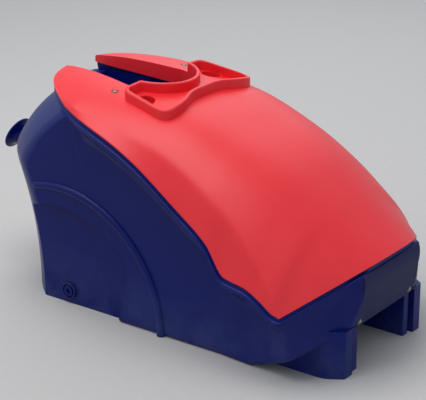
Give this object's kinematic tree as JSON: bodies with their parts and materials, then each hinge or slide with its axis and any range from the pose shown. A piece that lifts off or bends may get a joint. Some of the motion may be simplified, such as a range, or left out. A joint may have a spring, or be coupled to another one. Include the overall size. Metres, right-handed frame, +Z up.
{
  "type": "water filled barrier",
  "caption": "Hollow moulded barrier with a domed hood over a water tank, a legged tunnel at the low end, a filler knob at the back and a drain plug in one side.",
  "frame": {"origin": "middle of the bounding box in plan, on the ground plane", "axes": "+X along the length towards the low nose with the legs, +Y across to the side without a drain, +Z up"},
  "size_m": [1.0777, 0.5604, 0.5268],
  "materials": {
    "tank_blue": "moulded, semi matt",
    "hood_red": "moulded, semi matt",
    "apron_blue": "matt",
    "neck_blue": "semi matt",
    "knob_blue": "satin",
    "plug_blue": "satin",
    "bush_plastic": "satin",
    "seal_rubber": "matt",
    "insert_brass": "machined",
    "washer_steel": "zinc plated",
    "screw_steel": "zinc plated"
  },
  "bodies": {
    "barrier": {"tank": "tank_blue", "hood": "hood_red", "front_apron": "apron_blue", "filler_neck": "neck_blue", "drain_bush": "bush_plastic", "hood_insert_left": "insert_brass", "hood_insert_right": "insert_brass", "hood_washer_left": "washer_steel", "hood_washer_right": "washer_steel", "hood_screw_left": "screw_steel", "hood_screw_right": "screw_steel", "apron_insert_left": "insert_brass", "apron_insert_right": "insert_brass", "apron_washer_left": "washer_steel", "apron_washer_right": "washer_steel", "apron_screw_left": "screw_steel", "apron_screw_right": "screw_steel"},
    "filler_seal": {"filler_seal": "seal_rubber"},
    "filler_plug": {"filler_plug": "knob_blue"},
    "drain_seal": {"drain_seal": "seal_rubber"},
    "drain_plug": {"drain_plug": "plug_blue"}
  },
  "joints": [
    {"name": "filler_lift", "type": "slide", "parent": "barrier", "child": "filler_seal", "axis": [-0.8988, 0, 0.4384], "range_m": [0, 0.0211]},
    {"name": "filler_turn", "type": "hinge", "parent": "filler_seal", "child": "filler_plug", "pos_m": [-0.4713, 0, 0.26867], "axis": [-0.8988, 0, 0.4384], "range_deg": [0, 1260]},
    {"name": "drain_lift", "type": "slide", "parent": "barrier", "child": "drain_seal", "axis": [0, -1, 0], "range_m": [0, 0.0101]},
    {"name": "drain_turn", "type": "hinge", "parent": "drain_seal", "child": "drain_plug", "pos_m": [-0.1945, -0.198, 0.031], "axis": [0, -1, 0], "range_deg": [0, 1800]}
  ],
  "couplings": [
    {"joint": "filler_lift", "follows": "filler_turn", "m_per_rad": 0.00095493},
    {"joint": "drain_lift", "follows": "drain_turn", "m_per_rad": 0.00031831}
  ]
}
